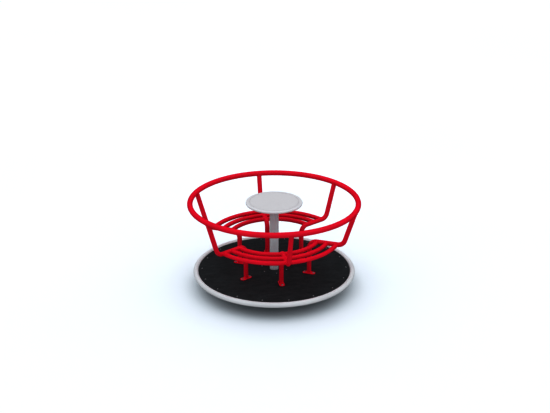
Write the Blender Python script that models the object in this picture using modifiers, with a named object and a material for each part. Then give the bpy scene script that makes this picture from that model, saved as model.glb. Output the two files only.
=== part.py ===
"""Playground roundabout: a turning deck with two curved tube seats, a hand rail and a fixed centre table.

Units are metres and +Z is up. The origin is the centre of the ground plate's underside. The turning
axis is Z. The front of the object faces -Y, and angles are counted from the front towards +X.
"""

import math

import bmesh
import bpy

# Shared sizes
GAP = 0.0003
FULL_TURN = 2 * math.pi
BAY = math.radians(60)
RING_STEPS = 48
TUBE_SIDES = 12
RAIL_SIDES = 16
BEND_STEPS = 5

# Heights
DECK_TOP = 0.160
DECK_THICKNESS = 0.015
SEAT_Z = DECK_TOP + 0.3235
RAIL_Z = DECK_TOP + 0.662
TABLE_TOP_Z = DECK_TOP + 0.667
RIM_Z = DECK_TOP - 0.0139

# Fixed centre
PLATE_RADIUS = 0.300
PLATE_THICKNESS = 0.012
PLATE_EDGE = 0.002
PEDESTAL_FOOT_RADIUS = 0.110
PEDESTAL_TOP_RADIUS = 0.090
PEDESTAL_TOP = 0.050
RACE_RADIUS = 0.072
RACE_TOP = 0.0647
POST_RADIUS = 0.0415
TABLE_RADIUS = 0.2585
TABLE_THICKNESS = 0.0235
TABLE_EDGE_STEPS = 6
FLANGE_RADIUS = 0.100
FLANGE_THICKNESS = 0.008

# Turning deck
HUB_BORE_RADIUS = 0.0470
HUB_SLEEVE_RADIUS = 0.070
HUB_TOP_FLANGE_RADIUS = 0.150
HUB_LOW_FLANGE_RADIUS = 0.140
HUB_LOW_FLANGE_THICKNESS = 0.008
SUPPORT_THICKNESS = 0.005
ARM_WIDTH = 0.050
ARM_HEIGHT = 0.040
ARM_TIP_HEIGHT = 0.026
ARM_TAPER_START = 0.560
ARM_END = 0.7018
DECK_RADIUS = 0.7015
DECK_HOLE_RADIUS = 0.0475
DECK_RING_INNER_RADIUS = 0.650
RIM_RADIUS = 0.726
RIM_TUBE_RADIUS = 0.024

# Frames, seats and rail
FRAME_TUBE_RADIUS = 0.0212
LEG_RADIUS = 0.340
CORNER_RADIUS = 0.657
BEND_RADIUS = 0.0675
RAIL_RADIUS = 0.764
RAIL_TUBE_RADIUS = 0.02415
SEAT_TUBE_RADIUS = 0.0200
SEAT_RING_RADII = {"inner": 0.410, "middle": 0.502, "outer": 0.5945}
SEAT_STEPS = 8
FOOT_LENGTH = 0.122
FOOT_WIDTH = 0.053
FOOT_THICKNESS = 0.006
FOOT_END_STEPS = 8

FRAME_ANGLES = {
    "front": 0,
    "front_right": 60,
    "back_right": 120,
    "back": 180,
    "back_left": 240,
    "front_left": 300,
}
SEAT_BAYS = {
    "front_right": ("front", "front_right"),
    "front_left": ("front_left", "front"),
    "back_right": ("back_right", "back"),
    "back_left": ("back", "back_left"),
}


def clear_scene():
    for obj in list(bpy.data.objects):
        bpy.data.objects.remove(obj, do_unlink=True)


def new_collection(name):
    collection = bpy.data.collections.new(name)
    bpy.context.scene.collection.children.link(collection)
    return collection


def new_material(name, colour, metallic, roughness):
    material = bpy.data.materials.new(name)
    material.use_nodes = True
    shader = material.node_tree.nodes["Principled BSDF"]
    shader.inputs["Base Color"].default_value = (*colour, 1.0)
    shader.inputs["Metallic"].default_value = metallic
    shader.inputs["Roughness"].default_value = roughness
    return material


def turn_to(angle_degrees):
    """Rotation about Z that takes the +X direction to an angle counted from the front."""
    return math.radians(angle_degrees - 90)


def add_object(name, data, material=None, angle_degrees=90):
    obj = bpy.data.objects.new(name, data)
    obj.rotation_euler.z = turn_to(angle_degrees)
    if material is None:
        CUTTERS.objects.link(obj)
        obj.hide_render = True
        obj.display_type = "WIRE"
    else:
        ROUNDABOUT.objects.link(obj)
        data.materials.append(material)
    return obj


def add_turned(name, profile, material, hollow):
    """A shape turned about Z from (radius, height) points that run down its outer side."""
    mesh = bpy.data.meshes.new(name)
    points = [(radius, 0, height) for radius, height in profile]
    edges = [(i, i + 1) for i in range(len(points) - 1)]
    if hollow:
        edges.append((len(points) - 1, 0))
    mesh.from_pydata(points, edges, [])
    obj = add_object(name, mesh, material)
    screw = obj.modifiers.new("Turn", "SCREW")
    screw.axis = "Z"
    screw.angle = FULL_TURN
    screw.steps = RING_STEPS
    screw.render_steps = RING_STEPS
    screw.use_merge_vertices = True
    screw.merge_threshold = 0.00005
    screw.use_smooth_shade = True
    return obj


def add_flat_ring(name, inner, outer, bottom, top, material):
    profile = [(inner, top), (outer, top), (outer, bottom), (inner, bottom)]
    return add_turned(name, profile, material, hollow=True)


def add_torus(name, ring_radius, tube_radius, height, sides, material=None):
    bpy.ops.mesh.primitive_torus_add(
        major_segments=RING_STEPS,
        minor_segments=sides,
        major_radius=ring_radius,
        minor_radius=tube_radius,
    )
    made = bpy.context.object
    mesh = made.data
    bpy.data.objects.remove(made, do_unlink=True)
    mesh.polygons.foreach_set("use_smooth", [True] * len(mesh.polygons))
    obj = add_object(name, mesh, material)
    obj.location.z = height
    return obj


def add_tube(name, points, radius, material=None, angle_degrees=90):
    """A closed round tube along the given points, as a mesh that a Boolean can cut."""
    curve = bpy.data.curves.new(name, "CURVE")
    curve.dimensions = "3D"
    curve.bevel_depth = radius
    curve.bevel_resolution = (TUBE_SIDES - 4) // 2
    curve.use_fill_caps = True
    spline = curve.splines.new("POLY")
    spline.points.add(len(points) - 1)
    for target, point in zip(spline.points, points):
        target.co = (*point, 1.0)
    guide = bpy.data.objects.new(name + "_guide", curve)
    mesh = bpy.data.meshes.new_from_object(guide)
    bpy.data.objects.remove(guide, do_unlink=True)
    bpy.data.curves.remove(curve)
    work = bmesh.new()
    work.from_mesh(mesh)
    bmesh.ops.remove_doubles(work, verts=work.verts, dist=0.00001)
    bmesh.ops.recalc_face_normals(work, faces=work.faces)
    for face in work.faces:
        face.smooth = len(face.verts) <= 4
    work.to_mesh(mesh)
    work.free()
    return add_object(name, mesh, material, angle_degrees)


def add_plate(name, outline, thickness, material, angle_degrees):
    """A flat plate cut to an outline in XY, centred on its own mid plane."""
    curve = bpy.data.curves.new(name, "CURVE")
    curve.dimensions = "2D"
    curve.fill_mode = "BOTH"
    curve.extrude = thickness / 2
    spline = curve.splines.new("POLY")
    spline.points.add(len(outline) - 1)
    for target, (x, y) in zip(spline.points, outline):
        target.co = (x, y, 0.0, 1.0)
    spline.use_cyclic_u = True
    return add_object(name, curve, material, angle_degrees)


def cut(obj, cutter):
    boolean = obj.modifiers.new("Cut " + cutter.name, "BOOLEAN")
    boolean.operation = "DIFFERENCE"
    boolean.solver = "EXACT"
    boolean.object = cutter


def arc_points(centre, radius, start, end, steps):
    """Points on an arc in the XZ plane, angles in radians from +X towards +Z."""
    points = []
    for i in range(steps + 1):
        angle = start + (end - start) * i / steps
        points.append((centre[0] + radius * math.cos(angle), 0, centre[1] + radius * math.sin(angle)))
    return points


def frame_path():
    """Centreline of a frame tube in its radial plane: leg, seat bearer and leaning upright."""
    lean = math.atan2(RAIL_RADIUS - CORNER_RADIUS, RAIL_Z - SEAT_Z)
    turn = math.pi / 2 - lean
    setback = BEND_RADIUS * math.tan(turn / 2)
    inner_centre = (LEG_RADIUS + BEND_RADIUS, SEAT_Z - BEND_RADIUS)
    outer_centre = (CORNER_RADIUS - setback, SEAT_Z + BEND_RADIUS)
    path = [(LEG_RADIUS, 0, DECK_TOP + FOOT_THICKNESS + 2 * GAP)]
    path += arc_points(inner_centre, BEND_RADIUS, math.pi, math.pi / 2, BEND_STEPS)
    path += arc_points(outer_centre, BEND_RADIUS, -math.pi / 2, -math.pi / 2 + turn, BEND_STEPS)
    path.append((RAIL_RADIUS, 0, RAIL_Z))
    return path


def seat_path(radius):
    """A sixty degree arc that starts at +X and turns towards +Y."""
    points = []
    for i in range(SEAT_STEPS + 1):
        angle = BAY * i / SEAT_STEPS
        points.append((radius * math.cos(angle), radius * math.sin(angle), SEAT_Z))
    return points


def foot_outline():
    """A plate with two round ends, long in the radial direction."""
    end_radius = FOOT_WIDTH / 2
    end_offset = FOOT_LENGTH / 2 - end_radius
    outline = []
    for side in (1, -1):
        for i in range(FOOT_END_STEPS + 1):
            angle = math.pi * i / FOOT_END_STEPS - math.pi / 2
            x = side * (end_offset + end_radius * math.cos(angle))
            y = side * end_radius * math.sin(angle)
            outline.append((x, y))
    return outline


def arm_outline():
    """Side view of a deck arm, deep at the hub and shallow at the rim."""
    inner = HUB_SLEEVE_RADIUS + GAP
    return [
        (inner, -ARM_HEIGHT),
        (ARM_TAPER_START, -ARM_HEIGHT),
        (ARM_END, -ARM_TIP_HEIGHT),
        (ARM_END, 0),
        (inner, 0),
    ]


def build_fixed_centre():
    plate = [
        (0, PLATE_THICKNESS),
        (PLATE_RADIUS - PLATE_EDGE, PLATE_THICKNESS),
        (PLATE_RADIUS, PLATE_THICKNESS - PLATE_EDGE),
        (PLATE_RADIUS, 0),
        (0, 0),
    ]
    add_turned("ground_plate", plate, BASE_STEEL, hollow=False)
    bore = POST_RADIUS + GAP
    pedestal_foot = PLATE_THICKNESS + GAP
    pedestal = [
        (bore, PEDESTAL_TOP),
        (PEDESTAL_TOP_RADIUS, PEDESTAL_TOP),
        (PEDESTAL_FOOT_RADIUS, pedestal_foot),
        (bore, pedestal_foot),
    ]
    add_turned("pedestal", pedestal, BASE_STEEL, hollow=True)
    add_flat_ring("bearing_race", bore, RACE_RADIUS, PEDESTAL_TOP + GAP, RACE_TOP, BEARING_STEEL)
    flange_top = TABLE_TOP_Z - TABLE_THICKNESS - GAP
    flange_bottom = flange_top - FLANGE_THICKNESS
    post = [
        (0, flange_bottom - GAP),
        (POST_RADIUS, flange_bottom - GAP),
        (POST_RADIUS, pedestal_foot),
        (0, pedestal_foot),
    ]
    add_turned("centre_post", post, POST_PAINT, hollow=False)
    flange = [(0, flange_top), (FLANGE_RADIUS, flange_top), (FLANGE_RADIUS, flange_bottom), (0, flange_bottom)]
    add_turned("table_flange", flange, POST_PAINT, hollow=False)
    edge = TABLE_THICKNESS / 2
    table = [(0, TABLE_TOP_Z)]
    for i in range(TABLE_EDGE_STEPS + 1):
        angle = math.pi / 2 - math.pi * i / TABLE_EDGE_STEPS
        x = TABLE_RADIUS - edge + edge * math.cos(angle)
        table.append((x, TABLE_TOP_Z - edge + edge * math.sin(angle)))
    table.append((0, TABLE_TOP_Z - TABLE_THICKNESS))
    add_turned("table_top", table, TABLE_PAINT, hollow=False)


def build_deck():
    support_top = DECK_TOP - DECK_THICKNESS - GAP
    support_bottom = support_top - SUPPORT_THICKNESS
    arm_top = support_bottom - GAP
    low_flange_top = arm_top - ARM_HEIGHT - GAP
    low_flange_bottom = low_flange_top - HUB_LOW_FLANGE_THICKNESS
    add_flat_ring("hub_sleeve", HUB_BORE_RADIUS, HUB_SLEEVE_RADIUS, RACE_TOP + GAP, arm_top, CHASSIS_STEEL)
    top_flange_radii = (HUB_BORE_RADIUS, HUB_TOP_FLANGE_RADIUS)
    add_flat_ring("hub_top_flange", *top_flange_radii, support_bottom, support_top, CHASSIS_STEEL)
    low_flange_radii = (HUB_SLEEVE_RADIUS + GAP, HUB_LOW_FLANGE_RADIUS)
    add_flat_ring("hub_low_flange", *low_flange_radii, low_flange_bottom, low_flange_top, CHASSIS_STEEL)
    for place, angle in FRAME_ANGLES.items():
        arm = add_plate("arm_" + place, arm_outline(), ARM_WIDTH, CHASSIS_STEEL, angle)
        arm.rotation_euler.x = math.pi / 2
        arm.location.z = arm_top
    ring_radii = (DECK_RING_INNER_RADIUS, DECK_RADIUS)
    add_flat_ring("deck_ring", *ring_radii, support_bottom, support_top, CHASSIS_STEEL)
    deck_bottom = DECK_TOP - DECK_THICKNESS
    add_flat_ring("deck_panel", DECK_HOLE_RADIUS, DECK_RADIUS, deck_bottom, DECK_TOP, DECK_BLACK)
    add_torus("rim_tube", RIM_RADIUS, RIM_TUBE_RADIUS, RIM_Z, TUBE_SIDES, RIM_PAINT)


def build_frames():
    add_torus("top_rail", RAIL_RADIUS, RAIL_TUBE_RADIUS, RAIL_Z, RAIL_SIDES, RED_PAINT)
    rail_cutter = add_torus("rail_cutter", RAIL_RADIUS, RAIL_TUBE_RADIUS + GAP, RAIL_Z, RAIL_SIDES)
    path = frame_path()
    frame_cutters = {}
    for place, angle in FRAME_ANGLES.items():
        frame = add_tube("frame_" + place, path, FRAME_TUBE_RADIUS, RED_PAINT, angle)
        cut(frame, rail_cutter)
        cutter_name = "frame_cutter_" + place
        frame_cutters[place] = add_tube(cutter_name, path, FRAME_TUBE_RADIUS + GAP, None, angle)
        foot = add_plate("foot_" + place, foot_outline(), FOOT_THICKNESS, RED_PAINT, angle)
        offset = turn_to(angle)
        foot.location.x = LEG_RADIUS * math.cos(offset)
        foot.location.y = LEG_RADIUS * math.sin(offset)
        foot.location.z = DECK_TOP + GAP + FOOT_THICKNESS / 2
    return frame_cutters


def build_seats(frame_cutters):
    for bay, (first, second) in SEAT_BAYS.items():
        for ring, radius in SEAT_RING_RADII.items():
            name = "seat_" + bay + "_" + ring
            seat = add_tube(name, seat_path(radius), SEAT_TUBE_RADIUS, RED_PAINT, FRAME_ANGLES[first])
            cut(seat, frame_cutters[first])
            cut(seat, frame_cutters[second])


clear_scene()
ROUNDABOUT = new_collection("playground_roundabout")
CUTTERS = new_collection("cutters")
RED_PAINT = new_material("red_paint", (0.72, 0.006, 0.018), 0.0, 0.35)
RIM_PAINT = new_material("rim_paint", (0.52, 0.55, 0.58), 0.1, 0.40)
POST_PAINT = new_material("post_paint", (0.22, 0.23, 0.24), 0.1, 0.45)
TABLE_PAINT = new_material("table_paint", (0.56, 0.57, 0.60), 0.0, 0.40)
DECK_BLACK = new_material("deck_black", (0.010, 0.010, 0.012), 0.0, 0.70)
CHASSIS_STEEL = new_material("chassis_steel", (0.20, 0.21, 0.22), 0.2, 0.50)
BASE_STEEL = new_material("base_steel", (0.45, 0.46, 0.47), 0.7, 0.45)
BEARING_STEEL = new_material("bearing_steel", (0.60, 0.60, 0.60), 0.9, 0.25)
build_fixed_centre()
build_deck()
build_seats(build_frames())
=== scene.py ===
"""Looks of the playground roundabout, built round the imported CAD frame.

Units are metres and +Z is up. The front faces -Y, and angles are counted from the front towards +X.
"""

import math

import bmesh
import bpy
import numpy as np
from mathutils import Matrix, Vector


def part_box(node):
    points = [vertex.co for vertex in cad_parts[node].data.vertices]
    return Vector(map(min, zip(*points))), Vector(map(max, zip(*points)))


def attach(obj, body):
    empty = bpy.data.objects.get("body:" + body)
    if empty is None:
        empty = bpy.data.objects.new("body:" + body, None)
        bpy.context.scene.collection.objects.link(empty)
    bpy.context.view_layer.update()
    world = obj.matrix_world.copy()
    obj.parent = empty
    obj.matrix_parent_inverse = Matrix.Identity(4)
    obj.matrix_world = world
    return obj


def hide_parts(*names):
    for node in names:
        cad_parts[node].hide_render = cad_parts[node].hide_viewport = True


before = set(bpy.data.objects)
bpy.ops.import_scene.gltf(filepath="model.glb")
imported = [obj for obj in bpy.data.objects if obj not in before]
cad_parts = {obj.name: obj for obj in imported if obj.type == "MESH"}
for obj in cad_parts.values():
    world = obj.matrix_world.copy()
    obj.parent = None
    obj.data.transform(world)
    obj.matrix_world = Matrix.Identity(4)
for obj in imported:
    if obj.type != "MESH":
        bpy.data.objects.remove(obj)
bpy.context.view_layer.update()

# Places of the six frames, the four seat bays between them and the seat tubes in a bay
FRAME_ANGLES = {
    "front": 0,
    "front_right": 60,
    "back_right": 120,
    "back": 180,
    "back_left": 240,
    "front_left": 300,
}
SEAT_BAYS = {
    "front_right": "front",
    "front_left": "front_left",
    "back_right": "back_right",
    "back_left": "back",
}
SEAT_RINGS = {"inner": 0.410, "middle": 0.502, "outer": 0.5945}
BAY = math.radians(60)
FULL_TURN = 2 * math.pi

# Tubes
FRAME_TUBE = 0.0212
SEAT_TUBE = 0.0200
LEG_RADIUS = 0.340
CORNER_RADIUS = 0.657
BEND_RADIUS = 0.0675
BEND_STEPS = 14
TUBE_SIDES = 32
RING_STEPS = 180
SEAT_STEPS = 36
SINK = 0.0004
COPE_START = 0.060

# Weld beads
BEAD_RADIUS = 0.0028
BEAD_SIDES = 8
BEAD_PITCH = 0.0038
BEAD_RIPPLE = 0.12
STEPS_PER_RIPPLE = 4
BEAD_GUIDE_STEPS = 96
PEDESTAL_BEAD_RADIUS = 0.004

# Deck, feet and table
BEVEL = 0.0015
FOOT_LENGTH = 0.122
FOOT_WIDTH = 0.053
FOOT_BOLT_OFFSET = 0.043
ARM_WIDTH = 0.050
ARM_HEIGHT = 0.040
ARM_TIP_HEIGHT = 0.026
ARM_TAPER_START = 0.560
ARM_END = 0.7018
ARM_CORNER = 0.005
TABLE_GROOVE_RADIUS = 0.2225
TABLE_GROOVE_WIDTH = 0.0040
TABLE_GROOVE_DEPTH = 0.0025
EDGE_STEPS = 14
DECK_HOLE_RADIUS = 0.0475
DECK_RING_INNER = 0.650
HUB_BORE = 0.047
THIN_BEVEL = 0.0008
PLATE_BEVEL = 0.002
PEDESTAL_TOP_RADIUS = 0.090
DECK_MESH_SCALE = 26.0

# Fasteners
WASHER_THICKNESS = 0.0016
STUD_CHAMFER = 0.001
DECK_BOLT_RADIUS = 0.670
DECK_BOLT_COUNT = 18
HUB_BOLT_RADIUS = 0.120
ANCHOR_RADIUS = 0.250
ANCHOR_COUNT = 6
LOW_FLANGE_BOLT_RADIUS = 0.118
TABLE_BOLT_RADIUS = 0.080
TABLE_BOLT_COUNT = 6
BOLT_STEPS = 24

# Floor, light and camera
CAMERA_AZIMUTH = -11.14
CAMERA_PITCH = 22.008
CAMERA_DISTANCE = 8.6952
CAMERA_RISE = 4.1304
CAMERA_SHIFT_RIGHT = 0.008
FOCAL_PIXELS = 1030.3
PICTURE_WIDTH = 550
SENSOR_WIDTH = 36.0
FLOOR_SIZE = 90.0
FLOOR_COLOUR = (0.723, 0.778, 0.827)
# Brightness of the sky at angles above the horizon, in degrees
SKY_STOPS = [(-90, 0.74), (-18, 0.76), (-3, 0.98), (12, 1.10), (45, 1.42), (80, 1.58)]
VIEW_GAMMA = 0.55


# Heights and radii that the frame gives
def middle(node):
    low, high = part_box(node)
    return (low + high) / 2


def thickness(node):
    low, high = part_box(node)
    return high.z - low.z


def reach(node):
    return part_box(node)[1].x


DECK_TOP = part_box("deck_panel")[1].z
RAIL_Z = middle("top_rail").z
RAIL_TUBE = thickness("top_rail") / 2
RAIL_RADIUS = reach("top_rail") - RAIL_TUBE
RIM_Z = middle("rim_tube").z
RIM_TUBE = thickness("rim_tube") / 2
RIM_RADIUS = reach("rim_tube") - RIM_TUBE
SEAT_Z = middle("seat_front_right_outer").z
FOOT_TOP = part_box("foot_front")[1].z
POST_RADIUS = reach("centre_post")
SLEEVE_RADIUS = reach("hub_sleeve")


# Materials
def new_material(name, colour, roughness, metallic=0.0, specular=0.5):
    material = bpy.data.materials.new(name)
    material.use_nodes = True
    shader = material.node_tree.nodes["Principled BSDF"]
    shader.inputs["Base Color"].default_value = (*colour, 1)
    shader.inputs["Roughness"].default_value = roughness
    shader.inputs["Metallic"].default_value = metallic
    shader.inputs["Specular IOR Level"].default_value = specular
    return material


def add_node(material, kind, **settings):
    node = material.node_tree.nodes.new(kind)
    for name, value in settings.items():
        if name in node.inputs:
            node.inputs[name].default_value = value
        else:
            setattr(node, name, value)
    return node


def link(material, source, target):
    material.node_tree.links.new(source, target)


def object_coordinates(material, scale=(1, 1, 1), rotation=(0, 0, 0)):
    """Coordinates in metres that stay with the piece."""
    source = add_node(material, "ShaderNodeTexCoord")
    mapping = add_node(material, "ShaderNodeMapping", Scale=scale, Rotation=rotation)
    link(material, source.outputs["Object"], mapping.inputs["Vector"])
    return mapping.outputs["Vector"]


def noise(material, scale, detail=2.0, stretch=(1, 1, 1)):
    node = add_node(material, "ShaderNodeTexNoise", Scale=scale, Detail=detail)
    link(material, object_coordinates(material, stretch), node.inputs["Vector"])
    return node.outputs["Fac"]


def ramp(material, source, stops):
    """A colour ramp through (position, colour) stops."""
    node = add_node(material, "ShaderNodeValToRGB")
    elements = node.color_ramp.elements
    while len(elements) < len(stops):
        elements.new(0.5)
    for element, (position, colour) in zip(elements, stops):
        element.position = position
        element.color = (*colour, 1)
    link(material, source, node.inputs["Fac"])
    return node.outputs["Color"]


def spread(material, source, low, high, start=0.3, end=0.7):
    """Maps the part of a source from start to end onto a range of values."""
    node = add_node(material, "ShaderNodeMapRange")
    node.inputs["From Min"].default_value = start
    node.inputs["From Max"].default_value = end
    node.inputs["To Min"].default_value = low
    node.inputs["To Max"].default_value = high
    link(material, source, node.inputs["Value"])
    return node.outputs["Result"]


def multiply(material, first, second):
    node = add_node(material, "ShaderNodeMath", operation="MULTIPLY")
    link(material, first, node.inputs[0])
    link(material, second, node.inputs[1])
    return node.outputs["Value"]


def shader_input(material, name):
    return material.node_tree.nodes["Principled BSDF"].inputs[name]


def tint(material, source, colour, low, high):
    """Lets the colour drift between two shades of itself."""
    dark = [c * low for c in colour]
    light = [min(c * high, 1.0) for c in colour]
    link(material, ramp(material, source, [(0.3, dark), (0.7, light)]), shader_input(material, "Base Color"))


def vary_roughness(material, source, low, high):
    link(material, spread(material, source, low, high), shader_input(material, "Roughness"))


def bump(material, height, distance, strength):
    node = add_node(material, "ShaderNodeBump", Distance=distance, Strength=strength)
    link(material, height, node.inputs["Height"])
    link(material, node.outputs["Normal"], shader_input(material, "Normal"))


def powder_coat(name, colour, roughness, specular):
    """Baked paint: a slow drift of shade, a patchy sheen and fine orange peel."""
    material = new_material(name, colour, roughness, specular=specular)
    tint(material, noise(material, 5.0, 3.0), colour, 0.95, 1.04)
    vary_roughness(material, noise(material, 28.0, 4.0), roughness - 0.06, roughness + 0.08)
    bump(material, noise(material, 420.0, 2.0), 0.0004, 0.22)
    return material


def deck_film(name, colour):
    """Black film-faced plywood with a pressed anti-slip mesh and faint scuffs."""
    material = new_material(name, colour, 0.62, specular=0.25)
    scuffs = noise(material, 9.0, 6.0, (1.0, 2.5, 1.0))
    tint(material, scuffs, colour, 0.86, 1.25)
    vary_roughness(material, noise(material, 34.0, 5.0), 0.54, 0.76)
    ribs = None
    for angle in (0.0, 60.0, 120.0):
        wave = add_node(material, "ShaderNodeTexWave", Scale=DECK_MESH_SCALE)
        turned_coordinates = object_coordinates(material, rotation=(0, 0, math.radians(angle)))
        link(material, turned_coordinates, wave.inputs["Vector"])
        rib = wave.outputs["Fac"]
        ribs = rib if ribs is None else multiply(material, ribs, rib)
    bump(material, ribs, 0.0008, 0.5)
    return material


def laminate(name, colour):
    """Pressed laminate sheet: fine speckle and a pebbled surface."""
    material = new_material(name, colour, 0.42, specular=0.35)
    tint(material, noise(material, 260.0, 3.0), colour, 0.96, 1.04)
    vary_roughness(material, noise(material, 18.0, 4.0), 0.36, 0.50)
    bump(material, noise(material, 700.0, 1.0), 0.0002, 0.25)
    return material


def galvanised(name, colour):
    """Hot-dip zinc with spangles that differ in shade and sheen."""
    material = new_material(name, colour, 0.45, metallic=0.45)
    cells = add_node(material, "ShaderNodeTexVoronoi", Scale=70.0)
    link(material, object_coordinates(material), cells.inputs["Vector"])
    split = add_node(material, "ShaderNodeSeparateColor")
    link(material, cells.outputs["Color"], split.inputs["Color"])
    spangle = split.outputs["Red"]
    tint(material, spangle, colour, 0.84, 1.12)
    vary_roughness(material, spangle, 0.36, 0.56)
    bump(material, noise(material, 300.0, 3.0), 0.0003, 0.25)
    return material


def bright_steel(name, colour, roughness, stretch):
    """Machined or plated steel with fine marks along one direction."""
    material = new_material(name, colour, roughness, metallic=0.5)
    marks = noise(material, 180.0, 4.0, stretch)
    tint(material, marks, colour, 0.90, 1.06)
    vary_roughness(material, marks, roughness - 0.07, roughness + 0.10)
    bump(material, marks, 0.0001, 0.2)
    return material


RED_PAINT = powder_coat("red_powder_coat", (0.722, 0.0090, 0.057), 0.34, 0.50)
RIM_PAINT = powder_coat("light_grey_powder_coat", (0.605, 0.628, 0.655), 0.42, 0.50)
POST_PAINT = powder_coat("mid_grey_powder_coat", (0.560, 0.605, 0.640), 0.45, 0.50)
CHASSIS_PAINT = powder_coat("dark_grey_powder_coat", (0.16, 0.165, 0.175), 0.50, 0.30)
TABLE_SHEET = laminate("grey_laminate", (0.573, 0.573, 0.594))
DECK_FILM = deck_film("black_deck_film", (0.045, 0.051, 0.056))
BASE_ZINC = galvanised("galvanised_steel", (0.50, 0.52, 0.54))
BEARING_STEEL = bright_steel("machined_steel", (0.60, 0.60, 0.60), 0.28, (1, 1, 12))
BOLT_ZINC = bright_steel("zinc_plated_steel", (0.55, 0.56, 0.58), 0.34, (1, 1, 1))


# Mesh building
def round_z(points, degrees):
    """Turns points about Z from the +X direction to an angle counted from the front."""
    angle = math.radians(degrees - 90)
    turn = np.array([
        [math.cos(angle), math.sin(angle), 0],
        [-math.sin(angle), math.cos(angle), 0],
        [0, 0, 1],
    ])
    return np.asarray(points, float) @ turn


def skin(mesh, rings, closed=False):
    """Adds a surface through rings of points. An open one gets a face across each end."""
    rows = [[mesh.verts.new(point) for point in ring] for ring in rings]
    count = len(rows[0])
    pairs = list(zip(rows, rows[1:]))
    if closed:
        pairs.append((rows[-1], rows[0]))
    for lower, upper in pairs:
        for i in range(count):
            j = (i + 1) % count
            mesh.faces.new((lower[i], lower[j], upper[j], upper[i]))
    if not closed:
        mesh.faces.new(rows[0][::-1])
        mesh.faces.new(rows[-1])


def finish_mesh(mesh, name, sharp_degrees=40):
    bmesh.ops.remove_doubles(mesh, verts=mesh.verts, dist=0.000002)
    bmesh.ops.recalc_face_normals(mesh, faces=mesh.faces)
    data = bpy.data.meshes.new(name)
    mesh.to_mesh(data)
    mesh.free()
    data.shade_smooth()
    data.set_sharp_from_angle(angle=math.radians(sharp_degrees))
    return data


def place(mesh, name, material, body, nodes=()):
    """Turns a bmesh into a piece of the object."""
    data = finish_mesh(mesh, name)
    data.materials.append(material)
    piece = bpy.data.objects.new(name, data)
    bpy.context.scene.collection.objects.link(piece)
    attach(piece, body)
    if nodes:
        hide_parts(*nodes)
    return piece


def outline_ring(radius, height, steps):
    """A ring round Z. The radius is a number, or a function of the angle."""
    points = []
    for i in range(steps):
        angle = FULL_TURN * i / steps
        length = radius(angle) if callable(radius) else radius
        points.append((length * math.cos(angle), length * math.sin(angle), height))
    return points


def turned(profile, closed=False, steps=RING_STEPS):
    """A mesh turned about Z from (radius, height) points."""
    mesh = bmesh.new()
    skin(mesh, [outline_ring(radius, height, steps) for radius, height in profile], closed)
    return mesh


def bevelled_ring(inner, outer, bottom, top, bevel=BEVEL):
    """Profile of a flat ring with all its edges broken."""
    return [
        (inner, bottom + bevel),
        (inner, top - bevel),
        (inner + bevel, top),
        (outer - bevel, top),
        (outer, top - bevel),
        (outer, bottom + bevel),
        (outer - bevel, bottom),
        (inner + bevel, bottom),
    ]


def bevelled_disc(outer, bottom, top, bevel=BEVEL):
    """Profile of a round plate with its edges broken."""
    return [
        (0, top),
        (outer - bevel, top),
        (outer, top - bevel),
        (outer, bottom + bevel),
        (outer - bevel, bottom),
        (0, bottom),
    ]


def tube_rings(path, radius, side):
    """Rings round a path that lies in the plane whose normal is side."""
    path = np.array(path, float)
    side = np.array(side, float)
    along = np.gradient(path, axis=0)
    along /= np.linalg.norm(along, axis=1)[:, None]
    across = np.cross(side, along)
    turn = np.linspace(0, FULL_TURN, TUBE_SIDES, endpoint=False)[:, None]
    return [point + radius * (np.cos(turn) * out + np.sin(turn) * side) for point, out in zip(path, across)]


def torus(ring_radius, tube_radius, height):
    profile = []
    for i in range(TUBE_SIDES):
        angle = FULL_TURN * i / TUBE_SIDES
        profile.append((ring_radius + tube_radius * math.cos(angle), height + tube_radius * math.sin(angle)))
    return turned(profile, closed=True)


# Where one tube meets another
def path_gap(points, path, radius):
    """How far points lie outside a tube along a path."""
    starts = path[:-1]
    runs = path[1:] - starts
    offsets = points[:, None, :] - starts
    share = np.clip((offsets * runs).sum(2) / (runs * runs).sum(1), 0, 1)
    nearest = offsets - share[:, :, None] * runs
    return np.linalg.norm(nearest, axis=2).min(1) - radius


def rail_gap(points):
    """How far points lie outside the hand rail."""
    out = np.hypot(points[:, 0], points[:, 1]) - RAIL_RADIUS
    return np.hypot(out, points[:, 2] - RAIL_Z) - RAIL_TUBE


def crossing(position, gap, low, high):
    """The value between low and high at which gap(position(value)) changes sign, for each point."""
    starts_outside = gap(position(low)) > 0
    for _ in range(30):
        value = (low + high) / 2
        same_side = (gap(position(value)) > 0) == starts_outside
        low = np.where(same_side, value, low)
        high = np.where(same_side, high, value)
    return (low + high) / 2


def bead(mesh, guide, radius=BEAD_RADIUS):
    """A rippled weld bead along a closed line of points."""
    guide = np.vstack([guide, guide[:1]])
    lengths = np.concatenate([[0], np.cumsum(np.linalg.norm(np.diff(guide, axis=0), axis=1))])
    ripples = max(8, round(lengths[-1] / BEAD_PITCH))
    stations = np.linspace(0, lengths[-1], ripples * STEPS_PER_RIPPLE, endpoint=False)
    path = np.column_stack([np.interp(stations, lengths, guide[:, k]) for k in range(3)])
    along = np.roll(path, -1, axis=0) - np.roll(path, 1, axis=0)
    along /= np.linalg.norm(along, axis=1)[:, None]
    out = path - path.mean(0)
    out -= (out * along).sum(1)[:, None] * along
    out /= np.linalg.norm(out, axis=1)[:, None]
    up = np.cross(along, out)
    phase = FULL_TURN * np.arange(len(path)) / STEPS_PER_RIPPLE
    sizes = radius * (1 + BEAD_RIPPLE * np.sin(phase))
    turn = np.linspace(0, FULL_TURN, BEAD_SIDES, endpoint=False)[:, None]
    rings = [p + size * (np.cos(turn) * o + np.sin(turn) * u) for p, size, o, u in zip(path, sizes, out, up)]
    skin(mesh, rings, closed=True)


def circle(radius, height, centre=(0, 0)):
    points = np.array(outline_ring(radius, height, BEAD_GUIDE_STEPS))
    return points + np.array([centre[0], centre[1], 0])


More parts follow.
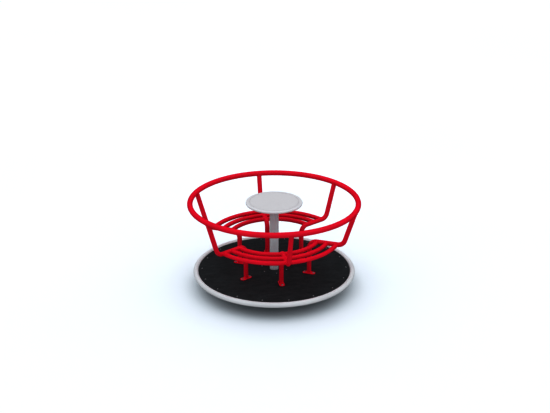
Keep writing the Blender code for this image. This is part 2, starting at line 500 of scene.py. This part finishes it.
# The red frames, seats and rail
def frame_line():
    """Centreline of a frame in its radial plane: leg, seat bearer and leaning upright."""
    lean = math.atan2(RAIL_RADIUS - CORNER_RADIUS, RAIL_Z - SEAT_Z)
    turn = math.pi / 2 - lean
    setback = BEND_RADIUS * math.tan(turn / 2)
    line = [(LEG_RADIUS, 0, FOOT_TOP)]
    for i in range(BEND_STEPS + 1):
        angle = math.pi - math.pi / 2 * i / BEND_STEPS
        x = LEG_RADIUS + BEND_RADIUS + BEND_RADIUS * math.cos(angle)
        line.append((x, 0, SEAT_Z - BEND_RADIUS + BEND_RADIUS * math.sin(angle)))
    for i in range(BEND_STEPS + 1):
        angle = -math.pi / 2 + turn * i / BEND_STEPS
        x = CORNER_RADIUS - setback + BEND_RADIUS * math.cos(angle)
        line.append((x, 0, SEAT_Z + BEND_RADIUS + BEND_RADIUS * math.sin(angle)))
    upright = np.array([math.sin(lean), 0, math.cos(lean)])
    line.append(tuple(np.array([RAIL_RADIUS, 0, RAIL_Z]) - COPE_START * upright))
    return np.array(line), upright


def cope_to_rail(ring, upright):
    """Points of the upright's last ring, pushed up to the hand rail's surface."""
    def position(distance):
        return ring + distance[:, None] * upright
    none = np.zeros(len(ring))
    return position(crossing(position, rail_gap, none, none + COPE_START))


def round_upright(line, upright, steps):
    """A ring of many points round the upright's upper end."""
    side = np.array([0, 1, 0])
    across = np.cross(side, upright)
    turn = np.linspace(0, FULL_TURN, steps, endpoint=False)[:, None]
    return line[-1] + FRAME_TUBE * (np.cos(turn) * across + np.sin(turn) * side)


def make_frames():
    line, upright = frame_line()
    rings = tube_rings(line, FRAME_TUBE, (0, 1, 0))
    rings[-1] = round_upright(line, upright, TUBE_SIDES)
    rings.append(cope_to_rail(rings[-1], upright) + SINK * upright)
    rail_weld = cope_to_rail(round_upright(line, upright, BEAD_GUIDE_STEPS), upright)
    foot_weld = circle(FRAME_TUBE, FOOT_TOP, (LEG_RADIUS, 0))
    for name, degrees in FRAME_ANGLES.items():
        mesh = bmesh.new()
        skin(mesh, [round_z(ring, degrees) for ring in rings])
        bead(mesh, round_z(rail_weld, degrees))
        bead(mesh, round_z(foot_weld, degrees))
        place(mesh, "tube_frame_" + name, RED_PAINT, "carousel", ["frame_" + name])
    return line


def seat_points(ring_radius, turn, angles):
    """Points on a seat tube's surface, at a turn round the tube and an angle round the axis."""
    out = ring_radius + SEAT_TUBE * np.cos(turn)
    heights = SEAT_Z + SEAT_TUBE * np.sin(turn)
    return np.column_stack([out * np.cos(angles), out * np.sin(angles), heights])


def seat_start(ring_radius, turn, line, sink):
    """The angle at which each line along the seat tube leaves the frame that it meets."""
    def position(angles):
        return seat_points(ring_radius, turn, angles)
    def gap(points):
        return path_gap(points, line, FRAME_TUBE - sink)
    return crossing(position, gap, np.zeros(len(turn)), np.full(len(turn), BAY / 4))


def make_seats(line):
    turn = np.linspace(0, FULL_TURN, TUBE_SIDES, endpoint=False)
    fine_turn = np.linspace(0, FULL_TURN, BEAD_GUIDE_STEPS, endpoint=False)
    for ring_name, ring_radius in SEAT_RINGS.items():
        start = seat_start(ring_radius, turn, line, SINK)
        weld = seat_start(ring_radius, fine_turn, line, 0)
        rings = []
        for i in range(SEAT_STEPS + 1):
            share = i / SEAT_STEPS
            rings.append(seat_points(ring_radius, turn, start + (BAY - 2 * start) * share))
        welds = [seat_points(ring_radius, fine_turn, angles) for angles in (weld, BAY - weld)]
        for bay, first in SEAT_BAYS.items():
            degrees = FRAME_ANGLES[first]
            mesh = bmesh.new()
            skin(mesh, [round_z(ring, degrees) for ring in rings])
            for guide in welds:
                bead(mesh, round_z(guide, degrees))
            node = f"seat_{bay}_{ring_name}"
            place(mesh, "tube_" + node, RED_PAINT, "carousel", [node])


def stadium(length, width, height, steps=20):
    """A ring with two round ends, long along X."""
    end_radius = width / 2
    offset = length / 2 - end_radius
    points = []
    for side in (1, -1):
        for i in range(steps + 1):
            angle = math.pi * i / steps - math.pi / 2
            along = offset + end_radius * math.cos(angle)
            points.append((side * along, side * end_radius * math.sin(angle), height))
    return points


def make_feet():
    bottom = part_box("foot_front")[0].z
    layers = [(2 * BEVEL, bottom), (0, bottom + BEVEL / 2), (0, FOOT_TOP - BEVEL), (2 * BEVEL, FOOT_TOP)]
    for name, degrees in FRAME_ANGLES.items():
        mesh = bmesh.new()
        rings = [np.array(stadium(FOOT_LENGTH - inset, FOOT_WIDTH - inset, z)) for inset, z in layers]
        skin(mesh, [round_z(ring + np.array([LEG_RADIUS, 0, 0]), degrees) for ring in rings])
        place(mesh, "plate_foot_" + name, RED_PAINT, "carousel", ["foot_" + name])


def make_rings():
    rail = torus(RAIL_RADIUS, RAIL_TUBE, RAIL_Z)
    place(rail, "hoop_top_rail", RED_PAINT, "carousel", ["top_rail"])
    rim = torus(RIM_RADIUS, RIM_TUBE, RIM_Z)
    place(rim, "hoop_rim", RIM_PAINT, "carousel", ["rim_tube"])


# The deck and what carries it
def flat_ring_piece(node, name, material, inner, bevel=BEVEL, body="carousel"):
    low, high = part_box(node)
    mesh = turned(bevelled_ring(inner, high.x, low.z, high.z, bevel), closed=True)
    place(mesh, name, material, body, [node])


def rounded_rectangle(width, height, corner, steps=4):
    """Points round a rectangle whose top edge is at height 0, as (across, up)."""
    points = []
    for across, up, start in ((1, 0, 0), (-1, 0, 90), (-1, -1, 180), (1, -1, 270)):
        centre_x = across * (width / 2 - corner)
        centre_z = -corner if up == 0 else corner - height
        for i in range(steps + 1):
            angle = math.radians(start + 90 * i / steps)
            points.append((centre_x + corner * math.cos(angle), centre_z + corner * math.sin(angle)))
    return points


def make_arms():
    arm_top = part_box("arm_front")[1].z
    section = rounded_rectangle(ARM_WIDTH, ARM_HEIGHT, ARM_CORNER)
    tip = rounded_rectangle(ARM_WIDTH, ARM_TIP_HEIGHT, ARM_CORNER)
    inner_end = [(math.sqrt(SLEEVE_RADIUS ** 2 - y * y) - SINK, y, arm_top + z) for y, z in section]
    rings = [inner_end]
    rings.append([(ARM_TAPER_START, y, arm_top + z) for y, z in section])
    rings.append([(ARM_END, y, arm_top + z) for y, z in tip])
    for name, degrees in FRAME_ANGLES.items():
        mesh = bmesh.new()
        skin(mesh, [round_z(ring, degrees) for ring in rings])
        bead(mesh, round_z(inner_end, degrees))
        place(mesh, "box_arm_" + name, CHASSIS_PAINT, "carousel", ["arm_" + name])


def chassis_ring(node, name, inner, bevel=THIN_BEVEL):
    flat_ring_piece(node, name, CHASSIS_PAINT, inner, bevel)


def make_deck():
    flat_ring_piece("deck_panel", "sheet_deck", DECK_FILM, DECK_HOLE_RADIUS)
    chassis_ring("deck_ring", "flat_deck_ring", DECK_RING_INNER)
    chassis_ring("hub_sleeve", "round_hub_sleeve", HUB_BORE, BEVEL)
    chassis_ring("hub_top_flange", "flat_hub_top", HUB_BORE)
    chassis_ring("hub_low_flange", "flat_hub_low", SLEEVE_RADIUS)


# The fixed centre
def make_centre():
    low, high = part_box("ground_plate")
    plate = turned(bevelled_disc(high.x, low.z, high.z, PLATE_BEVEL))
    place(plate, "round_ground_plate", BASE_ZINC, "base", ["ground_plate"])
    low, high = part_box("pedestal")
    cone = [
        (POST_RADIUS, low.z),
        (POST_RADIUS, high.z),
        (PEDESTAL_TOP_RADIUS - BEVEL, high.z),
        (PEDESTAL_TOP_RADIUS, high.z - BEVEL),
        (high.x, low.z),
    ]
    pedestal = turned(cone, closed=True)
    bead(pedestal, circle(high.x, low.z), PEDESTAL_BEAD_RADIUS)
    place(pedestal, "cone_pedestal", BASE_ZINC, "base", ["pedestal"])
    race = "bearing_race"
    flat_ring_piece(race, "round_bearing_race", BEARING_STEEL, POST_RADIUS, body="base")
    low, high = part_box("centre_post")
    post = turned([(0, high.z), (POST_RADIUS, high.z), (POST_RADIUS, low.z), (0, low.z)])
    bead(post, circle(POST_RADIUS, high.z))
    place(post, "tube_centre_post", POST_PAINT, "base", ["centre_post"])
    low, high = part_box("table_flange")
    flange = turned(bevelled_disc(high.x, low.z, high.z))
    place(flange, "round_table_flange", POST_PAINT, "base", ["table_flange"])
    make_table()


def make_table():
    """A laminate sheet with a shallow groove near its edge, held in a round lipping."""
    low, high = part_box("table_top")
    lip = (high.z - low.z) / 2
    sheet_radius = high.x - lip
    groove_start = TABLE_GROOVE_RADIUS - TABLE_GROOVE_WIDTH / 2
    groove_end = TABLE_GROOVE_RADIUS + TABLE_GROOVE_WIDTH / 2
    groove_wall = TABLE_GROOVE_WIDTH / 5
    sheet = [
        (0, high.z),
        (groove_start, high.z),
        (groove_start + groove_wall, high.z - TABLE_GROOVE_DEPTH),
        (groove_end - groove_wall, high.z - TABLE_GROOVE_DEPTH),
        (groove_end, high.z),
        (sheet_radius, high.z),
        (sheet_radius, low.z),
        (0, low.z),
    ]
    place(turned(sheet), "sheet_table_top", TABLE_SHEET, "base", ["table_top"])
    edge = [(sheet_radius, low.z)]
    for i in range(EDGE_STEPS + 1):
        angle = math.pi * i / EDGE_STEPS - math.pi / 2
        edge.append((sheet_radius + lip * math.cos(angle), low.z + lip + lip * math.sin(angle)))
    edge.append((sheet_radius, high.z))
    place(turned(edge, closed=True), "lipping_table", RIM_PAINT, "base", ["table_top"])


# Fasteners
def hexagon(across_flats):
    """Distance from a hexagon's middle to its edge, as a function of the angle."""
    def radius(angle):
        within = (angle + math.pi / 6) % (math.pi / 3) - math.pi / 6
        return across_flats / 2 / math.cos(within)
    return radius


def fastener(layers):
    """A small turned part from (radius, height) layers, where a radius may be a hexagon."""
    return finish_mesh(turned(layers, steps=BOLT_STEPS), "fastener", 25)


def button_screw(diameter, height, socket, washer=0.0):
    """A button head with a hexagon socket, standing on z = 0, with a washer if one is asked for."""
    layers = []
    base = 0.0
    if washer:
        base = WASHER_THICKNESS
        layers = [(0, 0), (washer / 2, 0), (washer / 2, base)]
    radius = diameter / 2
    layers.append((radius, base))
    for share in (0.25, 0.5, 0.75, 1.0):
        bend = share * math.pi / 2
        inset = (radius - socket * 0.8) * (1 - math.cos(bend))
        layers.append((radius - inset, base + height * math.sin(bend)))
    layers.append((hexagon(socket), base + height))
    layers.append((hexagon(socket), base + height * 0.35))
    layers.append((0, base + height * 0.35))
    if not washer:
        layers.insert(0, (0, base))
    return fastener(layers)


def hex_stack(washer, across_flats, height, stud=0.0, stud_height=0.0):
    """A washer and a chamfered nut or bolt head on z = 0, with the end of a stud if one is asked for."""
    nut = hexagon(across_flats)
    top = WASHER_THICKNESS + height
    chamfer = height * 0.12
    layers = [(0, 0), (washer / 2, 0), (washer / 2, WASHER_THICKNESS)]
    layers += [(nut, WASHER_THICKNESS), (nut, top - chamfer), (across_flats * 0.47, top)]
    if stud:
        end = top + stud_height
        layers += [(stud / 2, top), (stud / 2, end - STUD_CHAMFER), (stud / 2 - STUD_CHAMFER, end)]
    layers.append((0, layers[-1][1]))
    return fastener(layers)


def spots(radius, height, count, first=0.0, flip=False):
    """Places on a circle round Z, for fasteners that stand up, or hang down when flipped."""
    places = []
    for i in range(count):
        turn = Matrix.Rotation(math.radians(first + 360 * i / count - 90), 4, "Z")
        place_at = turn @ Matrix.Translation((radius, 0, height))
        places.append(place_at @ Matrix.Rotation(math.pi, 4, "X") if flip else place_at)
    return places


def scatter(name, part, places, body):
    """Copies of one fastener at many places, as one piece."""
    mesh = bmesh.new()
    for where in places:
        before = len(mesh.verts)
        mesh.from_mesh(part)
        mesh.verts.ensure_lookup_table()
        bmesh.ops.transform(mesh, matrix=where, verts=mesh.verts[before:])
    place(mesh, name, BOLT_ZINC, body)


def make_fasteners():
    frames = len(FRAME_ANGLES)
    deck_screw = button_screw(diameter=0.012, height=0.0035, socket=0.004)
    edge_spots = spots(DECK_BOLT_RADIUS, DECK_TOP, DECK_BOLT_COUNT)
    scatter("screws_deck_edge", deck_screw, edge_spots, "carousel")
    scatter("screws_deck_hub", deck_screw, spots(HUB_BOLT_RADIUS, DECK_TOP, frames), "carousel")

    foot_screw = button_screw(diameter=0.016, height=0.005, socket=0.006, washer=0.020)
    foot_spots = []
    for offset in (-FOOT_BOLT_OFFSET, FOOT_BOLT_OFFSET):
        foot_spots += spots(LEG_RADIUS + offset, FOOT_TOP, frames)
    scatter("screws_feet", foot_screw, foot_spots, "carousel")

    deck_nut = hex_stack(washer=0.016, across_flats=0.013, height=0.0065, stud=0.008, stud_height=0.006)
    ring_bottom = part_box("deck_ring")[0].z
    nut_spots = spots(DECK_BOLT_RADIUS, ring_bottom, DECK_BOLT_COUNT, first=10, flip=True)
    scatter("nuts_deck_edge", deck_nut, nut_spots, "carousel")

    hub_bolt = hex_stack(washer=0.021, across_flats=0.017, height=0.0075)
    flange_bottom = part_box("hub_low_flange")[0].z
    hub_spots = spots(LOW_FLANGE_BOLT_RADIUS, flange_bottom, frames, flip=True)
    scatter("bolts_hub", hub_bolt, hub_spots, "carousel")

    table_bolt = hex_stack(washer=0.016, across_flats=0.013, height=0.0055)
    table_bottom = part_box("table_flange")[0].z
    table_spots = spots(TABLE_BOLT_RADIUS, table_bottom, TABLE_BOLT_COUNT, first=30, flip=True)
    scatter("bolts_table", table_bolt, table_spots, "base")

    anchor = hex_stack(washer=0.030, across_flats=0.024, height=0.013, stud=0.016, stud_height=0.012)
    plate_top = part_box("ground_plate")[1].z
    scatter("anchors_ground", anchor, spots(ANCHOR_RADIUS, plate_top, ANCHOR_COUNT, first=30), "base")


# Floor, light and camera
def make_camera():
    azimuth = math.radians(CAMERA_AZIMUTH)
    pitch = math.radians(CAMERA_PITCH)
    toward = Vector((math.sin(azimuth), -math.cos(azimuth), 0))
    right = Vector((math.cos(azimuth), math.sin(azimuth), 0))
    data = bpy.data.cameras.new("camera")
    data.sensor_width = SENSOR_WIDTH
    data.lens = FOCAL_PIXELS / PICTURE_WIDTH * SENSOR_WIDTH
    data.clip_end = 200
    camera = bpy.data.objects.new("camera", data)
    height = Vector((0, 0, CAMERA_RISE + DECK_TOP))
    camera.location = toward * CAMERA_DISTANCE + right * CAMERA_SHIFT_RIGHT + height
    look = -toward * math.cos(pitch) - Vector((0, 0, math.sin(pitch)))
    camera.rotation_mode = "QUATERNION"
    camera.rotation_quaternion = look.to_track_quat("-Z", "Y")
    bpy.context.scene.collection.objects.link(camera)
    bpy.context.scene.camera = camera


def make_floor():
    """A wide pale floor with a touch of blue."""
    bpy.ops.mesh.primitive_plane_add(size=FLOOR_SIZE)
    floor = bpy.context.object
    floor.name = "floor"
    material = new_material("floor_white", FLOOR_COLOUR, 1.0, specular=0.0)
    tint(material, noise(material, 0.4, 1.0), FLOOR_COLOUR, 0.995, 1.005)
    floor.data.materials.append(material)
    floor.visible_diffuse = False
    floor.visible_shadow = False
    floor.visible_glossy = False


def make_sky():
    """A soft dome, brighter overhead, with the light that a pale floor sends up."""
    world = bpy.data.worlds.new("soft_studio")
    bpy.context.scene.world = world
    world.use_nodes = True
    nodes, links = world.node_tree.nodes, world.node_tree.links
    direction = nodes.new("ShaderNodeTexCoord")
    split = nodes.new("ShaderNodeSeparateXYZ")
    lift = nodes.new("ShaderNodeMapRange")
    lift.inputs["From Min"].default_value = -1.0
    shades = nodes.new("ShaderNodeValToRGB")
    elements = shades.color_ramp.elements
    while len(elements) < len(SKY_STOPS):
        elements.new(0.5)
    for element, (degrees, strength) in zip(elements, SKY_STOPS):
        element.position = 0.5 + 0.5 * math.sin(math.radians(degrees))
        element.color = (strength, strength, strength, 1)
    links.new(direction.outputs["Generated"], split.inputs["Vector"])
    links.new(split.outputs["Z"], lift.inputs["Value"])
    links.new(lift.outputs["Result"], shades.inputs["Fac"])
    links.new(shades.outputs["Color"], nodes["Background"].inputs["Color"])
    world.cycles_visibility.glossy = False


bpy.context.scene.view_settings.view_transform = "Standard"
bpy.context.scene.view_settings.gamma = VIEW_GAMMA
make_camera()
make_floor()
make_sky()
make_rings()
make_seats(make_frames())
make_feet()
make_deck()
make_arms()
make_centre()
make_fasteners()
